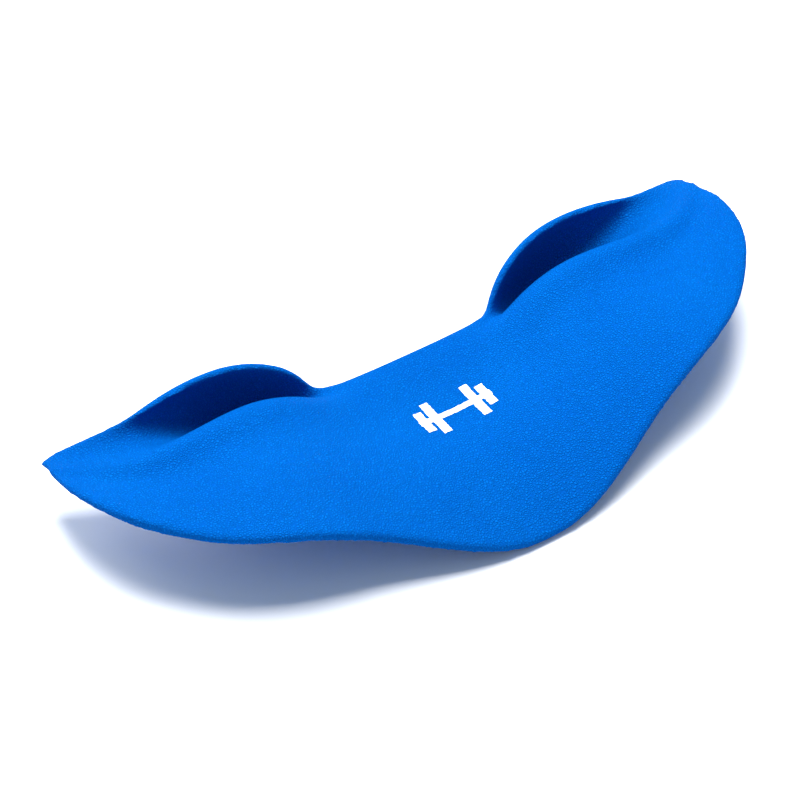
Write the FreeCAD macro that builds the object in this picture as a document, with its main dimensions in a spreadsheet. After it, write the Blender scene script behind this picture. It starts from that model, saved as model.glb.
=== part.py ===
import FreeCAD, Part
import os

# Barbell squat pad. Millimetres, +Z up, +Y towards the neck notch, +X to the right.
# Origin: middle of the footprint, on the surface that the pad rests on.

SIZES = (
    # overall shape
    ("half_length", 164, "centre to the end of a wing, whose rear corner stands 2 further out"),
    ("tongue_reach", 112, "neck line to the tip of the tongue"),
    ("tongue_half_width", 49, "centre to the shoulder of the tongue"),
    ("waist_reach", 90, "neck line to the waist between tongue and wing"),
    ("wing_reach", 68, "neck line to the front of a wing"),
    ("tip_back", 23, "neck line to the rear corner of a wing"),
    ("neck_half_width", 47, "centre to the inner end of a lip"),
    ("lip_end", 126, "centre to the outer end of a lip"),
    # heights of the bar side
    ("tongue_height", 9, "front edge of the tongue"),
    ("neck_height", 24, "neck edge"),
    ("ridge_height", 43, "ridge in front of a pocket"),
    ("wing_height", 43, "front of a wing"),
    ("tip_height", 30, "rear corner of a wing"),
    ("lip_height", 47, "rim of a lip"),
    ("pocket_floor_height", -15, "control height under the floor of a pocket, which the floor stays above"),
    ("pocket_back", 26, "neck line to the back of a pocket"),
    # layers
    ("wall", 5, "whole thickness"),
    ("rim_share", 0.67, "thickness left at the rim of a lip and at the neck edge, as a share of the wall"),
    ("tip_share", 0.65, "thickness left at the end of a wing, as a share of the wall"),
    ("cover", 1.5, "skin over each face of the load plate"),
    # load plate and lip cores, between the two skins
    ("edge_cover", 7, "band in front of the load plate"),
    ("end_cover", 16, "band at each end of the load plate"),
    ("plate_back_share", 0.55, "back of the load plate, as a share of the way across the pad"),
    ("core_cover", 10, "band at each end of a lip core"),
    ("core_foot_share", 0.78, "foot of a lip core, as a share of the way across the pad"),
    ("core_top_share", 0.96, "top of a lip core, as a share of the way across the pad"),
    # printed mark
    ("mark_width", 36, "whole mark"),
    ("mark_bar", 3, "thickness of the drawn bar"),
    ("mark_disc_width", 4, "width of a drawn disc"),
    ("mark_big_disc", 20, "height of the larger drawn disc"),
    ("mark_small_disc", 13, "height of the smaller drawn disc"),
    ("mark_disc_place", 10, "centre to the middle of a larger drawn disc"),
    ("mark_disc_pitch", 5.5, "middle of a larger drawn disc to the middle of the smaller one beside it"),
    ("mark_forward", 40, "neck line to the middle of the mark"),
    ("ink", 0.2, "thickness of the print"),
)

os.makedirs("parts", exist_ok=True)
doc = FreeCAD.newDocument("squat_pad")
sheet = doc.addObject("Spreadsheet::Sheet", "Sizes")


def write_size(row, alias, value, note):
    """One row of the sheet: a size's name, its value and what it means."""
    sheet.set("A%d" % row, alias)
    sheet.set("B%d" % row, str(value))
    sheet.set("C%d" % row, note)
    sheet.setAlias("B%d" % row, alias)


for row, (alias, value, note) in enumerate(SIZES, start=1):
    write_size(row, alias, value, note)
doc.recompute()


def size(alias):
    return float(sheet.get(alias))


# ---------------------------------------------------------------- bar-side surface

def between(start, end, share, lift):
    """A point at the given share of the way from start to end, raised by lift."""
    x, y, z = [a + (b - a) * share for a, b in zip(start, end)]
    return (x, y, z + lift)


def guide_rows():
    """Nine stations from the centre to the wing's end, each from the front edge to the back edge."""
    tongue = size("tongue_reach")
    shoulder = size("tongue_half_width")
    waist = size("waist_reach")
    wing = size("wing_reach")
    end = size("half_length")
    inner = size("neck_half_width")
    outer = size("lip_end")
    middle = (inner + outer) / 2
    neck_z = size("neck_height")
    ridge_z = size("ridge_height")
    wing_z = size("wing_height")
    tip_z = size("tip_height")
    lip_z = size("lip_height")
    floor_z = size("pocket_floor_height")
    deep = size("pocket_back")
    tip_back = size("tip_back")
    front = (
        (0, -tongue, size("tongue_height")),
        (shoulder - 27, 1 - tongue, size("tongue_height") + 4),
        (shoulder, 11 - tongue, size("tongue_height") + 16),
        (shoulder + 20, -waist - 2, wing_z - 9),
        (inner + 50, 5 - waist, wing_z + 2),
        (outer - 2, -wing - 4, wing_z + 1),
        (end - 20, 15 - wing, wing_z + 2),
        (end - 3, -30, wing_z + 3),
        (end + 1, -6, wing_z - 3),
    )
    ridge = (
        (0, -14, neck_z),
        (inner - 26, -14, neck_z + 1),
        (inner - 5, -9, neck_z + 4),
        (inner + 8, -1, neck_z + 16),
        (middle - 8, 0, ridge_z + 8),
        (outer - 22, -4, ridge_z + 4),
        (outer + 2, -12, wing_z + 3),
        (end - 19, -7, wing_z - 1),
        (end + 1, 12, tip_z + 5),
    )
    floor = (
        (0, -9, neck_z),
        (inner - 25, -9, neck_z + 1),
        (inner - 2, -4, neck_z + 3),
        (inner + 9, 4, floor_z + 12),
        (middle - 7, 9, floor_z),
        (outer - 22, 9, floor_z + 27),
        (outer + 2, 0, wing_z - 8),
        (end - 20, 4, wing_z - 7),
        (end, 17, tip_z + 3),
    )
    back = (
        (0, -5, neck_z),
        (inner - 24, -4, neck_z + 1),
        (inner - 1, -2, neck_z + 3),
        (inner + 11, deep - 14, neck_z + 2),
        (middle - 6, deep, neck_z + 4),
        (outer - 20, deep - 4, wing_z - 6),
        (outer + 2, 11, wing_z - 5),
        (end - 21, 11, wing_z - 6),
        (end + 1, tip_back - 5, tip_z + 2),
    )
    rim = (
        (0, -2, neck_z),
        (inner - 11, -1, neck_z + 1),
        (inner - 1, 0, neck_z + 1),
        (inner + 5, 3, lip_z - 10),
        (middle - 12, 11, lip_z),
        (outer - 22, 11, lip_z),
        (outer + 2, 9, wing_z + 1),
        (end - 22, 18, wing_z - 5),
        (end + 2, tip_back + 1, tip_z - 1),
    )
    brow_lift = (6, 6, 4, 1, 0, 0, 0, 0, 0)
    plate_lift = (7, 7, 4, -1, -4, -4, -3, -1, 0)
    apron_lift = (0, 0, -2, -6, -10, -10, -7, -4, -1)
    brow = [between(a, b, 0.22, lift) for a, b, lift in zip(front, ridge, brow_lift)]
    plate = [between(a, b, 0.52, lift) for a, b, lift in zip(front, ridge, plate_lift)]
    apron = [between(a, b, 0.77, lift) for a, b, lift in zip(front, ridge, apron_lift)]
    return list(zip(front, brow, plate, apron, ridge, floor, back, rim))


def clamped_knots(pole_count, degree):
    """Even knots from 0 to 1 with full multiplicity at both ends."""
    spans = pole_count - degree
    knots = [i / spans for i in range(spans + 1)]
    counts = [degree + 1] + [1] * (spans - 1) + [degree + 1]
    return knots, counts


def master_surface():
    """The bar side as one smooth surface, mirrored about the centre plane."""
    right = guide_rows()
    left = [[(-x, y, z) for x, y, z in row] for row in reversed(right[1:])]
    poles = [[FreeCAD.Vector(*point) for point in row] for row in left + right]
    span_knots, span_counts = clamped_knots(len(poles), 3)
    row_knots, row_counts = clamped_knots(len(poles[0]), 3)
    surface = Part.BSplineSurface()
    surface.buildFromPolesMultsKnots(
        poles, span_counts, row_counts, span_knots, row_knots, False, False, 3, 3
    )
    return surface


SEW_GAP = 0.001     # widest gap that sewing closes
END_INSET = 0.03    # share of the surface beside an edge where no normal is read
HALVINGS = 40       # halvings that find a share to well under a micron
STEP = 0.002        # share of a row walked at a time
MIDDLE = 0.5        # share of the span at the centre plane, and of a row halfway across


def pole_share(number, pole_count):
    """Where a pole pulls the hardest, as a share of the surface's span."""
    spans = pole_count - 3
    nearby = [min(max(number + step - 3, 0), spans) for step in (1, 2, 3)]
    return sum(nearby) / (3 * spans)


def sunk_surface(depth):
    """The bar-side surface moved inwards by depth, less at the rims and at the wing ends."""
    surface = MASTER.copy()
    span_count = MASTER.NbUPoles
    row_count = MASTER.NbVPoles
    for i in range(span_count):
        along = min(max(pole_share(i, span_count), END_INSET), 1 - END_INSET)
        for j in range(row_count):
            across = min(max(pole_share(j, row_count), END_INSET), 1 - END_INSET)
            share = 1
            if i in (0, span_count - 1):
                share = size("tip_share")
            if j == row_count - 1:
                share = min(share, size("rim_share"))
            inwards = MASTER.normal(along, across) * -OUTWARD
            surface.setPole(i + 1, j + 1, MASTER.getPole(i + 1, j + 1) + inwards * depth * share)
    return surface


def patch(surface, span, rows):
    """The face between two shares of the span and two shares of the rows."""
    part = surface.copy()
    part.segment(span[0], span[1], rows[0], rows[1])
    return part.toShape()


def across_edge(surface, along, rows):
    """The edge that runs across the pad at one share of the span."""
    curve = surface.uIso(along)
    curve.segment(*rows)
    return curve.toShape()


def along_edge(surface, across, span):
    """The edge that runs along the pad at one share of the rows."""
    curve = surface.vIso(across)
    curve.segment(*span)
    return curve.toShape()


def slab(top, bottom, spans, rows, cells):
    """A closed solid between two surfaces that fills the given cells of a grid of cuts."""
    faces = []
    for column, line in cells:
        span = (spans[column], spans[column + 1])
        row = (rows[line], rows[line + 1])
        faces.append(patch(top, span, row))
        faces.append(patch(bottom, span, row))
        for beside, along in (((column - 1, line), span[0]), ((column + 1, line), span[1])):
            if beside not in cells:
                faces.append(Part.makeRuledSurface(
                    across_edge(top, along, row), across_edge(bottom, along, row)))
        for beside, across in (((column, line - 1), row[0]), ((column, line + 1), row[1])):
            if beside not in cells:
                faces.append(Part.makeRuledSurface(
                    along_edge(top, across, span), along_edge(bottom, across, span)))
    skin = Part.Compound(faces)
    skin.sewShape(SEW_GAP)
    solid = Part.Solid(skin.Shells[0] if skin.Shells else Part.Shell(skin.Faces))
    if solid.Volume < 0:
        solid.reverse()
    return solid


def share_at_x(x, across):
    """The share of the span where the surface reaches x, on the right-hand side."""
    low = MIDDLE
    high = 1.0
    for _ in range(HALVINGS):
        along = (low + high) / 2
        if MASTER.value(along, across).x < x:
            low = along
        else:
            high = along
    return low


def share_at_length(length, along):
    """The share of a row that lies the given length from the front edge."""
    across = 0.0
    walked = 0.0
    here = MASTER.value(along, across)
    while walked < length:
        across += STEP
        ahead = MASTER.value(along, across)
        walked += here.distanceToPoint(ahead)
        here = ahead
    return across


# ---------------------------------------------------------------- place on the ground

MASTER = master_surface()
OUTWARD = 1 if MASTER.normal(MIDDLE, MIDDLE).z > 0 else -1
WALL = size("wall")
COVER = size("cover")
WHOLE = (0, 1)
ONE_CELL = {(0, 0)}
whole_pad = slab(MASTER, sunk_surface(WALL), WHOLE, WHOLE, ONE_CELL)
footprint = whole_pad.optimalBoundingBox(False, False)
SHIFT = FreeCAD.Vector(-footprint.Center.x, -footprint.Center.y, -footprint.ZMin)
MASTER.translate(SHIFT)
write_size(len(SIZES) + 1, "neck_line", SHIFT.y, "found, not set: origin to the neck line")


# ---------------------------------------------------------------- layers and cuts

face_top = MASTER
core_top = sunk_surface(COVER)
core_bottom = sunk_surface(WALL - COVER)
face_bottom = sunk_surface(WALL)

plate_end = share_at_x(size("half_length") - size("end_cover"), MIDDLE)
core_foot = size("core_foot_share")
core_top_row = size("core_top_share")
core_middle = (core_foot + core_top_row) / 2
lip_inner = share_at_x(size("neck_half_width") + size("core_cover"), core_middle)
lip_outer = share_at_x(size("lip_end") - size("core_cover"), core_middle)
plate_front = share_at_length(size("edge_cover"), MIDDLE)
SPANS = (0, 1 - plate_end, 1 - lip_outer, 1 - lip_inner, lip_inner, lip_outer, plate_end, 1)
ROWS = (0, plate_front, size("plate_back_share"), core_foot, core_top_row, 1)
LEFT_LIP_CELLS = {(2, 3)}
RIGHT_LIP_CELLS = {(4, 3)}
PLATE_CELLS = {(column, 1) for column in range(1, 6)}
ALL_CELLS = {(column, line) for column in range(7) for line in range(5)}
BAND_CELLS = ALL_CELLS - PLATE_CELLS - LEFT_LIP_CELLS - RIGHT_LIP_CELLS


def add_shape(label, shape):
    feature = doc.addObject("Part::Feature", label)
    feature.Label = label
    feature.Shape = shape
    feature.Placement = FreeCAD.Placement()
    return feature


bar_side_skin = add_shape("bar_side_skin", slab(face_top, core_top, WHOLE, WHOLE, ONE_CELL))
body_side_skin = add_shape("body_side_skin", slab(core_bottom, face_bottom, WHOLE, WHOLE, ONE_CELL))
edge_band = add_shape("edge_band", slab(core_top, core_bottom, SPANS, ROWS, BAND_CELLS))
load_plate = add_shape("load_plate", slab(core_top, core_bottom, SPANS, ROWS, PLATE_CELLS))
left_lip_core = add_shape("left_lip_core", slab(core_top, core_bottom, SPANS, ROWS, LEFT_LIP_CELLS))
right_lip_core = add_shape("right_lip_core", slab(core_top, core_bottom, SPANS, ROWS, RIGHT_LIP_CELLS))


# ---------------------------------------------------------------- printed mark

def mark_block(name, width_alias, tall_alias, offset):
    """One drawn stroke of the mark, as an upright block that the ink film trims."""
    block = doc.addObject("Part::Box", name)
    block.setExpression("Length", "Sizes." + width_alias)
    block.setExpression("Width", "Sizes." + tall_alias)
    block.setExpression("Height", "Sizes.lip_height")
    block.setExpression("Placement.Base.x", offset + " - Sizes.%s / 2" % width_alias)
    block.setExpression(
        "Placement.Base.y",
        "Sizes.neck_line - Sizes.mark_forward - Sizes.%s / 2" % tall_alias,
    )
    return block


blocks = [mark_block("drawn_bar", "mark_width", "mark_bar", "0")]
for side, sign in (("left", "-"), ("right", "")):
    blocks.append(mark_block(
        side + "_big_disc", "mark_disc_width", "mark_big_disc", sign + "Sizes.mark_disc_place"))
    blocks.append(mark_block(
        side + "_small_disc", "mark_disc_width", "mark_small_disc",
        sign + "(Sizes.mark_disc_place + Sizes.mark_disc_pitch)"))
strokes = doc.addObject("Part::MultiFuse", "strokes")
strokes.Shapes = blocks
FILM_SPAN = (0.4, 0.6)    # the middle of the plate, which the strokes stay inside
FILM_ROWS = (0.2, 0.6)
film = add_shape("film", slab(sunk_surface(-size("ink")), face_top, FILM_SPAN, FILM_ROWS, ONE_CELL))
printed_mark = doc.addObject("Part::MultiCommon", "printed_mark")
printed_mark.Label = "printed_mark"
printed_mark.Shapes = [strokes, film]


# ---------------------------------------------------------------- check and write

doc.recompute()
NODES = (
    bar_side_skin,
    body_side_skin,
    edge_band,
    load_plate,
    left_lip_core,
    right_lip_core,
    printed_mark,
)
for item in doc.Objects:
    if "Invalid" in item.State or "Error" in item.State:
        raise RuntimeError("%s failed: %s" % (item.Label, item.State))
for item in NODES:
    if item.Shape.isNull() or not item.Shape.isValid():
        raise RuntimeError("%s has no valid shape" % item.Label)
    item.Shape.exportStep("parts/%s.step" % item.Label)
    box = item.Shape.BoundBox
    print(
        "%-16s solids %d volume %8.0f x %.1f..%.1f y %.1f..%.1f z %.1f..%.1f"
        % (item.Label, len(item.Shape.Solids), item.Shape.Volume, box.XMin, box.XMax,
           box.YMin, box.YMax, box.ZMin, box.ZMax)
    )
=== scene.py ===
import math

import bpy
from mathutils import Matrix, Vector, noise
from mathutils.bvhtree import BVHTree


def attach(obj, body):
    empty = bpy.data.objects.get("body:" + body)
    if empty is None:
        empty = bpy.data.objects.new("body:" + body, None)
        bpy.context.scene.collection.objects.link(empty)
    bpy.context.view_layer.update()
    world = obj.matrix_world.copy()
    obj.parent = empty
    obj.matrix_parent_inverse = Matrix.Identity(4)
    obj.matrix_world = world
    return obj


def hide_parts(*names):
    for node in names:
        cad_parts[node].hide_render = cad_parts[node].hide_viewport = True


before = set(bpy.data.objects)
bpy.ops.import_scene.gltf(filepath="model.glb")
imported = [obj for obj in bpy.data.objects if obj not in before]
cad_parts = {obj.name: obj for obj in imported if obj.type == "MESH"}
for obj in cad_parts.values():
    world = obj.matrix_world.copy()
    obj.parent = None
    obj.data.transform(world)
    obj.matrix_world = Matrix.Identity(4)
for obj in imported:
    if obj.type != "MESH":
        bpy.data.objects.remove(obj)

bl_info = {
    "name": "Barbell squat pad",
    "version": (1, 0, 0),
    "blender": (4, 5, 0),
    "location": "3D View > Sidebar > Squat Pad",
    "description": "Gives the squat pad its moulded skin, its print, its cores' finish and a stage",
    "category": "Object",
}

BODY = "root"
OUTER_NODES = ("bar_side_skin", "edge_band", "body_side_skin")
CORE_NODES = ("load_plate", "left_lip_core", "right_lip_core")
PRINT_NODE = "printed_mark"
TOUCH = 0.00025          # faces of two layers that lie this close are one shared face
OPPOSED = -0.9           # dot product of the normals of two faces that lie against each other
WANDER_SEED = 7          # keeps the print's rough outline the same in every run


# ---------------------------------------------------------------- settings

class PadSettings(bpy.types.PropertyGroup):
    """The moulded skin: how finely it is meshed, how soft its edges are, its grain and its colour."""

    mesh_step: bpy.props.FloatProperty(
        name="Mesh step", description="Side of the squares that the skin is meshed with",
        default=0.00116, min=0.0005, max=0.004, precision=5, unit="LENGTH")
    edge_rounds: bpy.props.IntProperty(
        name="Edge rounds", description="Smoothing rounds, which soften the moulded edges",
        default=14, min=0, max=40)
    corner_radius: bpy.props.FloatProperty(
        name="Corner radius", description="Rounding of the rear corner of each wing, seen from above",
        default=0.0065, min=0.001, max=0.03, precision=4, unit="LENGTH")
    colour: bpy.props.FloatVectorProperty(
        name="Colour", description="Colour of the top of the grain",
        default=(0.0006, 0.116, 0.455), min=0, max=1, size=3, subtype="COLOR")
    crease_colour: bpy.props.FloatVectorProperty(
        name="Crease colour", description="Colour of the creases between the grains",
        default=(0.0002, 0.066, 0.335), min=0, max=1, size=3, subtype="COLOR")
    grain_size: bpy.props.FloatProperty(
        name="Grain size", description="Width of one grain of the leather pattern",
        default=0.0011, min=0.0003, max=0.01, precision=5, unit="LENGTH")
    grain_height: bpy.props.FloatProperty(
        name="Grain height", description="Height of the leather pattern",
        default=0.00034, min=0, max=0.001, precision=5, unit="LENGTH")


class PrintSettings(bpy.types.PropertyGroup):
    """The printed mark: how finely it is meshed, how rough its outline is and its colour."""

    mesh_step: bpy.props.FloatProperty(
        name="Mesh step", description="Side of the squares that the print is meshed with",
        default=0.00016, min=0.0001, max=0.001, precision=5, unit="LENGTH")
    rough_edge: bpy.props.FloatProperty(
        name="Rough edge", description="How far the print's outline wanders",
        default=0.00028, min=0, max=0.001, precision=5, unit="LENGTH")
    rough_pitch: bpy.props.FloatProperty(
        name="Rough pitch", description="Distance between two wanders of the outline",
        default=0.0009, min=0.0001, max=0.01, precision=5, unit="LENGTH")
    colour: bpy.props.FloatVectorProperty(
        name="Colour", description="Colour of the ink",
        default=(0.92, 0.93, 0.94), min=0, max=1, size=3, subtype="COLOR")


class CoreSettings(bpy.types.PropertyGroup):
    """The load plate and the lip cores inside the skin."""

    colour: bpy.props.FloatVectorProperty(
        name="Colour", description="Colour of the moulded cores",
        default=(0.018, 0.019, 0.022), min=0, max=1, size=3, subtype="COLOR")
    texture_size: bpy.props.FloatProperty(
        name="Texture size", description="Width of the fine moulded texture",
        default=0.0006, min=0.0002, max=0.01, precision=5, unit="LENGTH")


class StageSettings(bpy.types.PropertyGroup):
    """The floor, the lights and the camera."""

    floor_side: bpy.props.FloatProperty(
        name="Floor side", description="Side of the square floor",
        default=6.0, min=1, max=50, unit="LENGTH")
    floor_colour: bpy.props.FloatVectorProperty(
        name="Floor colour", description="Colour of the floor",
        default=(0.93, 0.93, 0.94), min=0, max=1, size=3, subtype="COLOR")
    key_energy: bpy.props.FloatProperty(
        name="Key light", description="Power of the soft light above and behind the pad",
        default=52.0, min=0, max=1000, unit="POWER")
    key_side: bpy.props.FloatProperty(
        name="Key light side", description="Side of the square soft light",
        default=0.9, min=0.05, max=5, unit="LENGTH")
    back_energy: bpy.props.FloatProperty(
        name="Back light", description="Power of the wide low light behind the pad",
        default=27.0, min=0, max=1000, unit="POWER")
    back_side: bpy.props.FloatProperty(
        name="Back light side", description="Side of the square light behind the pad",
        default=1.4, min=0.05, max=5, unit="LENGTH")
    sky_strength: bpy.props.FloatProperty(
        name="Sky", description="Strength of the even light from all round",
        default=0.5, min=0, max=10)
    sky_colour: bpy.props.FloatVectorProperty(
        name="Sky colour", description="Colour of the even light from all round",
        default=(0.64, 0.81, 1.0), min=0, max=1, size=3, subtype="COLOR")
    camera_turn: bpy.props.FloatProperty(
        name="Camera turn", description="Angle of the camera round the pad, from the front to its left",
        default=math.radians(33.1), unit="ROTATION")
    camera_rise: bpy.props.FloatProperty(
        name="Camera rise", description="Angle of the camera above the floor",
        default=math.radians(45), unit="ROTATION")
    camera_distance: bpy.props.FloatProperty(
        name="Camera distance", description="From the camera to the point that it aims at",
        default=1.1935, min=0.1, max=20, unit="LENGTH")
    camera_aim: bpy.props.FloatVectorProperty(
        name="Camera aim", description="The point that the camera aims at",
        default=(-0.0016, 0.0440, -0.0105), size=3, precision=4, subtype="XYZ_LENGTH")
    camera_lens: bpy.props.FloatProperty(
        name="Camera lens", description="Focal length of the camera in millimetres",
        default=122.8, min=10, max=500)


# ---------------------------------------------------------------- making and finishing meshes

def joined_copy(name, nodes):
    """One new piece made of copies of CAD nodes, with their doubled points merged."""
    bpy.ops.object.select_all(action="DESELECT")
    for node in nodes:
        twin = bpy.data.objects.new(name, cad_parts[node].data.copy())
        bpy.context.scene.collection.objects.link(twin)
        twin.select_set(True)
        bpy.context.view_layer.objects.active = twin
    if len(nodes) > 1:
        bpy.ops.object.join()
    piece = bpy.context.view_layer.objects.active
    piece.name = name
    piece.data.name = name
    piece.data.materials.clear()
    bpy.ops.object.mode_set(mode="EDIT")
    bpy.ops.mesh.select_all(action="SELECT")
    bpy.ops.mesh.customdata_custom_splitnormals_clear()
    bpy.ops.mesh.remove_doubles(threshold=1e-6)
    bpy.ops.object.mode_set(mode="OBJECT")
    return piece


def apply_modifier(piece, name, kind, **values):
    """Adds one modifier with the given values and applies it."""
    modifier = piece.modifiers.new(name, kind)
    for key, value in values.items():
        setattr(modifier, key, value)
    bpy.ops.object.select_all(action="DESELECT")
    piece.select_set(True)
    bpy.context.view_layer.objects.active = piece
    bpy.ops.object.modifier_apply(modifier=modifier.name)


def drop_shared_faces(piece):
    """Deletes the faces where two of the joined layers lie against each other."""
    bpy.ops.object.mode_set(mode="EDIT")
    bpy.ops.mesh.select_mode(type="FACE")
    bpy.ops.mesh.select_all(action="DESELECT")
    bpy.ops.object.mode_set(mode="OBJECT")
    mesh = piece.data
    tree = BVHTree.FromPolygons([v.co for v in mesh.vertices], [p.vertices for p in mesh.polygons])
    for polygon in mesh.polygons:
        near = tree.find_nearest_range(polygon.center, TOUCH)
        polygon.select = any(polygon.normal.dot(hit[1]) < OPPOSED for hit in near)
    bpy.ops.object.mode_set(mode="EDIT")
    bpy.ops.mesh.delete(type="FACE")
    bpy.ops.object.mode_set(mode="OBJECT")


def round_corners(piece, radius):
    """Rounds the rear corner of each wing, seen from above, by turning squares into circles."""
    centre_x = max(vertex.co.x for vertex in piece.data.vertices) - radius
    centre_y = max(v.co.y for v in piece.data.vertices if abs(v.co.x) > centre_x) - radius
    for vertex in piece.data.vertices:
        across = abs(vertex.co.x) - centre_x
        back = vertex.co.y - centre_y
        if across > 0 and back > 0:
            share = max(across, back) / math.hypot(across, back)
            vertex.co.x = math.copysign(centre_x + across * share, vertex.co.x)
            vertex.co.y = centre_y + back * share


def hollow_out(piece, cores):
    """Leaves room in the piece for its cores, whose own faces become the walls of the cavities."""
    cavity = joined_copy("cavity", cores)
    bpy.ops.object.mode_set(mode="EDIT")
    bpy.ops.mesh.select_all(action="SELECT")
    bpy.ops.mesh.flip_normals()
    bpy.ops.object.mode_set(mode="OBJECT")
    piece.select_set(True)
    bpy.context.view_layer.objects.active = piece
    bpy.ops.object.join()


def remesh(piece, step, rounds):
    """Gives the piece one even closed skin of small squares, with its edges softened."""
    apply_modifier(piece, "Even squares", "REMESH", mode="VOXEL", voxel_size=step, use_smooth_shade=True)
    if rounds:
        apply_modifier(piece, "Soft edges", "SMOOTH", factor=0.5, iterations=rounds)
    if not piece.data.polygons:
        raise RuntimeError("%s lost its mesh while it was being remeshed" % piece.name)


# ---------------------------------------------------------------- materials

class Nodes:
    """A short way to lay out a material's nodes."""

    def __init__(self, name):
        self.material = bpy.data.materials.new(name)
        self.material.use_nodes = True
        self.tree = self.material.node_tree
        self.shader = self.tree.nodes["Principled BSDF"]
        self.place = self.add("ShaderNodeTexCoord").outputs["Object"]

    def add(self, kind, **values):
        node = self.tree.nodes.new(kind)
        for key, value in values.items():
            setattr(node, key, value)
        return node

    def link(self, output, socket):
        self.tree.links.new(output, socket)

    def noise(self, size, detail=3.0, roughness=0.5, place=None):
        """Soft noise with the given size in metres."""
        node = self.add("ShaderNodeTexNoise")
        node.inputs["Scale"].default_value = 1 / size
        node.inputs["Detail"].default_value = detail
        node.inputs["Roughness"].default_value = roughness
        self.link(place or self.place, node.inputs["Vector"])
        return node

    def span(self, value, low, high, to_low, to_high):
        """The value's range from low to high spread over another range, clamped."""
        node = self.add("ShaderNodeMapRange", clamp=True)
        for socket, number in zip(node.inputs[1:5], (low, high, to_low, to_high)):
            socket.default_value = number
        self.link(value, node.inputs[0])
        return node.outputs[0]

    def sum(self, first, second, second_share):
        """first + second * second_share."""
        node = self.add("ShaderNodeMath", operation="MULTIPLY_ADD")
        self.link(second, node.inputs[0])
        node.inputs[1].default_value = second_share
        self.link(first, node.inputs[2])
        return node.outputs[0]

    def mix(self, share, first, second):
        """One colour mixed into another. Each is a colour or a node's output."""
        node = self.add("ShaderNodeMix", data_type="RGBA")
        self.link(share, node.inputs["Factor"])
        for socket, colour in ((node.inputs[6], first), (node.inputs[7], second)):
            if isinstance(colour, bpy.types.NodeSocket):
                self.link(colour, socket)
            else:
                socket.default_value = (*colour, 1)
        return node.outputs[2]

    def bump(self, height, distance, strength=1.0, onto=None):
        node = self.add("ShaderNodeBump")
        node.inputs["Strength"].default_value = strength
        node.inputs["Distance"].default_value = distance
        self.link(height, node.inputs["Height"])
        if onto is not None:
            self.link(onto, node.inputs["Normal"])
        return node.outputs["Normal"]


def grained_skin(settings):
    """Matt blue skin with a fine leather grain and a painted highlight, a paler blue, along its moulded
    edges.
    """
    nodes = Nodes("blue_grained_skin")
    wobble = nodes.noise(settings.grain_size * 2.2, detail=2)
    bent = nodes.add("ShaderNodeMix", data_type="VECTOR")
    bent.inputs["Factor"].default_value = settings.grain_size * 0.9
    nodes.link(nodes.place, bent.inputs[4])
    nodes.link(wobble.outputs["Color"], bent.inputs[5])
    cells = nodes.add("ShaderNodeTexVoronoi", feature="DISTANCE_TO_EDGE")
    cells.inputs["Scale"].default_value = 1 / settings.grain_size
    cells.inputs["Randomness"].default_value = 1
    nodes.link(bent.outputs[1], cells.inputs["Vector"])
    pebble = nodes.span(cells.outputs["Distance"], 0.0, 0.32, 0.0, 1.0)
    fine = nodes.noise(settings.grain_size * 0.45, detail=4, roughness=0.6)
    height = nodes.sum(pebble, fine.outputs["Fac"], 0.5)
    broad = nodes.noise(0.045, detail=4)
    tone = nodes.span(broad.outputs["Fac"], 0.3, 0.7, 0.0, 0.35)
    crease = nodes.span(pebble, 0.0, 0.8, 0.75, 0.0)
    deeper = nodes.sum(crease, tone, 0.6)
    grain_colour = nodes.mix(deeper, settings.colour, settings.crease_colour)
    # painted highlight: convex moulded edges (high pointiness) are mixed toward a paler blue to stand in
    # for the light caught on the rolled rims and crests
    painted_edge_highlight = nodes.span(nodes.add("ShaderNodeNewGeometry").outputs["Pointiness"], 0.52, 0.6, 0.0, 0.4)
    paler = tuple(min(1.0, channel * 1.35 + 0.004) for channel in settings.colour)
    nodes.link(nodes.mix(painted_edge_highlight, grain_colour, paler), nodes.shader.inputs["Base Color"])
    nodes.link(nodes.span(fine.outputs["Fac"], 0.3, 0.7, 0.58, 0.74), nodes.shader.inputs["Roughness"])
    nodes.shader.inputs["Specular IOR Level"].default_value = 0.005
    nodes.link(nodes.bump(height, settings.grain_height), nodes.shader.inputs["Normal"])
    return nodes.material


def white_ink(settings):
    """Thick white ink that took up a little of the grain under it."""
    nodes = Nodes("white_ink")
    speckle = nodes.noise(0.0005, detail=4, roughness=0.7)
    thin = nodes.span(speckle.outputs["Fac"], 0.56, 0.74, 0.0, 0.5)
    nodes.link(nodes.mix(thin, settings.colour, (0.55, 0.68, 0.86)), nodes.shader.inputs["Base Color"])
    nodes.link(nodes.span(speckle.outputs["Fac"], 0.3, 0.7, 0.55, 0.8), nodes.shader.inputs["Roughness"])
    nodes.shader.inputs["Specular IOR Level"].default_value = 0.2
    nodes.link(nodes.bump(speckle.outputs["Fac"], 0.0001), nodes.shader.inputs["Normal"])
    return nodes.material


def moulded_core(settings):
    """Black plastic as it comes out of the mould, with faint flow marks."""
    nodes = Nodes("black_core")
    fine = nodes.noise(settings.texture_size, detail=3)
    flow = nodes.noise(0.03, detail=5, roughness=0.6)
    streak = nodes.span(flow.outputs["Fac"], 0.35, 0.7, 0.0, 0.6)
    paler = tuple(channel * 2 for channel in settings.colour)
    nodes.link(nodes.mix(streak, settings.colour, paler), nodes.shader.inputs["Base Color"])
    nodes.link(nodes.span(fine.outputs["Fac"], 0.3, 0.7, 0.42, 0.6), nodes.shader.inputs["Roughness"])
    nodes.link(nodes.bump(fine.outputs["Fac"], 0.00004), nodes.shader.inputs["Normal"])
    return nodes.material


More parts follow.
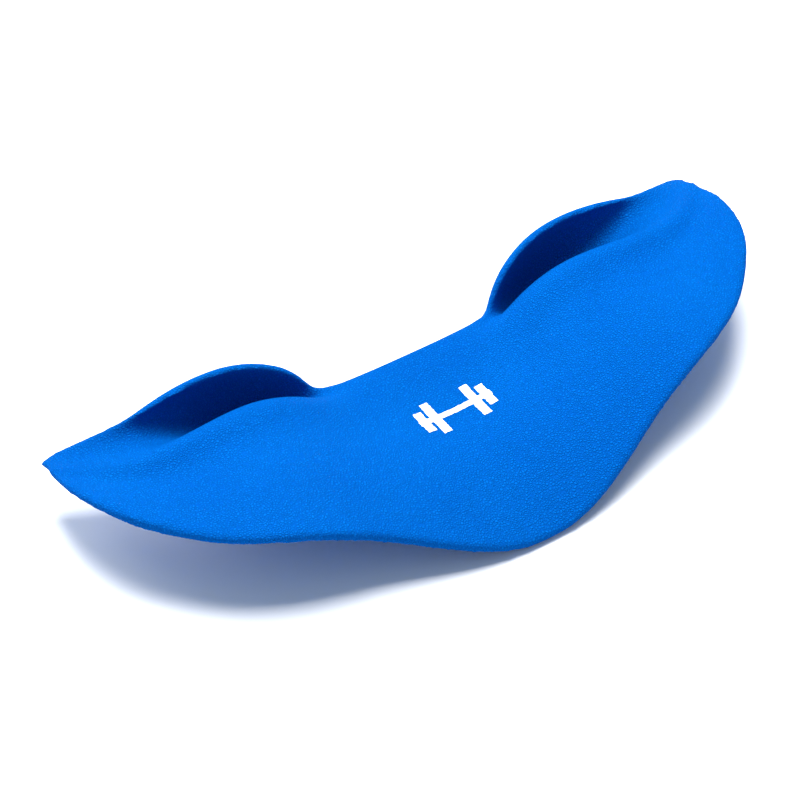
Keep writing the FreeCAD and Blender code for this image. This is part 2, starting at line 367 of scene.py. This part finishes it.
def plain_floor(settings):
    """Pale matt card with a barely visible tooth."""
    nodes = Nodes("pale_floor")
    tooth = nodes.noise(0.002, detail=3)
    shade = nodes.span(tooth.outputs["Fac"], 0.3, 0.7, 0.0, 0.3)
    darker = tuple(channel * 0.985 for channel in settings.floor_colour)
    nodes.link(nodes.mix(shade, settings.floor_colour, darker), nodes.shader.inputs["Base Color"])
    nodes.shader.inputs["Roughness"].default_value = 0.9
    nodes.shader.inputs["Specular IOR Level"].default_value = 0.0
    return nodes.material


# ---------------------------------------------------------------- pieces

class SQUATPAD_OT_moulding(bpy.types.Operator):
    """Makes the moulded skin, one closed soft-edged piece round the plate and the cores"""

    bl_idname = "squatpad.moulding"
    bl_label = "Moulded Skin"

    def execute(self, context):
        settings = context.scene.squatpad_skin
        piece = joined_copy("moulded_skin", OUTER_NODES + CORE_NODES)
        drop_shared_faces(piece)
        round_corners(piece, settings.corner_radius)
        remesh(piece, settings.mesh_step, settings.edge_rounds)
        hollow_out(piece, CORE_NODES)
        piece.data.materials.append(grained_skin(settings))
        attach(piece, BODY)
        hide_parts(*OUTER_NODES)
        return {"FINISHED"}


class SQUATPAD_OT_print(bpy.types.Operator):
    """Makes the printed mark, a raised film of ink with a slightly rough outline"""

    bl_idname = "squatpad.print"
    bl_label = "Printed Mark"

    def execute(self, context):
        settings = context.scene.squatpad_print
        piece = joined_copy("ink_mark", (PRINT_NODE,))
        remesh(piece, settings.mesh_step, 1)
        noise.seed_set(WANDER_SEED)
        for vertex in piece.data.vertices:
            wander = noise.noise_vector(vertex.co / settings.rough_pitch)
            vertex.co += Vector((wander.x, wander.y, 0)) * settings.rough_edge
        apply_modifier(piece, "Soft edges", "SMOOTH", factor=0.5, iterations=2)
        piece.data.materials.append(white_ink(settings))
        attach(piece, BODY)
        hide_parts(PRINT_NODE)
        return {"FINISHED"}


class SQUATPAD_OT_cores(bpy.types.Operator):
    """Gives the load plate and the lip cores their moulded finish"""

    bl_idname = "squatpad.cores"
    bl_label = "Plate and Cores"

    def execute(self, context):
        finish = moulded_core(context.scene.squatpad_core)
        for node in CORE_NODES:
            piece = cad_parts[node]
            if not piece.material_slots:
                raise RuntimeError("%s has no material slot" % node)
            for slot in piece.material_slots:
                slot.material = finish
        return {"FINISHED"}


# ---------------------------------------------------------------- stage

def aim(thing, place, target):
    """Puts a light or a camera at a place and turns it to a target."""
    thing.location = place
    thing.rotation_euler = (target - place).to_track_quat("-Z", "Y").to_euler()


class SQUATPAD_OT_stage(bpy.types.Operator):
    """Lays the floor, hangs the soft lights and sets up the camera"""

    bl_idname = "squatpad.stage"
    bl_label = "Stage"

    def execute(self, context):
        settings = context.scene.squatpad_stage
        bpy.ops.object.select_all(action="DESELECT")
        bpy.ops.mesh.primitive_plane_add(size=settings.floor_side, location=(0, 0, 0))
        floor = context.object
        floor.name = "stage_floor"
        floor.data.materials.append(plain_floor(settings))
        target = Vector(settings.camera_aim)
        self.add_lights(context.scene, settings, target)
        self.add_camera(context.scene, settings, target)
        return {"FINISHED"}

    def add_lights(self, scene, settings, target):
        world = bpy.data.worlds.new("soft_room")
        world.use_nodes = True
        world.node_tree.nodes["Background"].inputs["Strength"].default_value = settings.sky_strength
        world.node_tree.nodes["Background"].inputs["Color"].default_value = (*settings.sky_colour, 1)
        scene.world = world
        scene.view_settings.view_transform = "Standard"
        self.add_light(scene, "key_light", settings.key_energy, settings.key_side,
                       target + Vector((0.14, 0.33, 1.55)), target)
        self.add_light(scene, "back_light", settings.back_energy, settings.back_side,
                       target + Vector((-0.5, 1.7, 0.9)), target)

    def add_light(self, scene, name, energy, side, place, target):
        data = bpy.data.lights.new(name, "AREA")
        data.energy = energy
        data.size = side
        light = bpy.data.objects.new(name, data)
        scene.collection.objects.link(light)
        aim(light, place, target)

    def add_camera(self, scene, settings, target):
        level = math.cos(settings.camera_rise)
        back = Vector((
            -math.sin(settings.camera_turn) * level,
            -math.cos(settings.camera_turn) * level,
            math.sin(settings.camera_rise),
        ))
        lens = bpy.data.cameras.new("camera")
        lens.lens = settings.camera_lens
        lens.sensor_width = 36
        camera = bpy.data.objects.new("camera", lens)
        scene.collection.objects.link(camera)
        aim(camera, target + back * settings.camera_distance, target)
        scene.camera = camera


# ---------------------------------------------------------------- panel and registration

class SQUATPAD_PT_panel(bpy.types.Panel):
    """Lists the pad's pieces and the stage"""

    bl_idname = "SQUATPAD_PT_panel"
    bl_label = "Squat Pad"
    bl_space_type = "VIEW_3D"
    bl_region_type = "UI"
    bl_category = "Squat Pad"

    def draw(self, context):
        for operator, group in STEPS:
            box = self.layout.box()
            box.operator(operator.bl_idname)
            settings = getattr(context.scene, group)
            for name in type(settings).__annotations__:
                box.prop(settings, name)


STEPS = (
    (SQUATPAD_OT_moulding, "squatpad_skin"),
    (SQUATPAD_OT_print, "squatpad_print"),
    (SQUATPAD_OT_cores, "squatpad_core"),
    (SQUATPAD_OT_stage, "squatpad_stage"),
)
GROUPS = {
    "squatpad_skin": PadSettings,
    "squatpad_print": PrintSettings,
    "squatpad_core": CoreSettings,
    "squatpad_stage": StageSettings,
}
CLASSES = (*GROUPS.values(), *(operator for operator, group in STEPS), SQUATPAD_PT_panel)


def register():
    for item in CLASSES:
        bpy.utils.register_class(item)
    for name, group in GROUPS.items():
        setattr(bpy.types.Scene, name, bpy.props.PointerProperty(type=group))


def unregister():
    for name in GROUPS:
        delattr(bpy.types.Scene, name)
    for item in reversed(CLASSES):
        bpy.utils.unregister_class(item)


def main():
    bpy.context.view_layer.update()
    register()
    bpy.ops.squatpad.stage()
    bpy.ops.squatpad.moulding()
    bpy.ops.squatpad.print()
    bpy.ops.squatpad.cores()


if __name__ == "__main__":
    main()
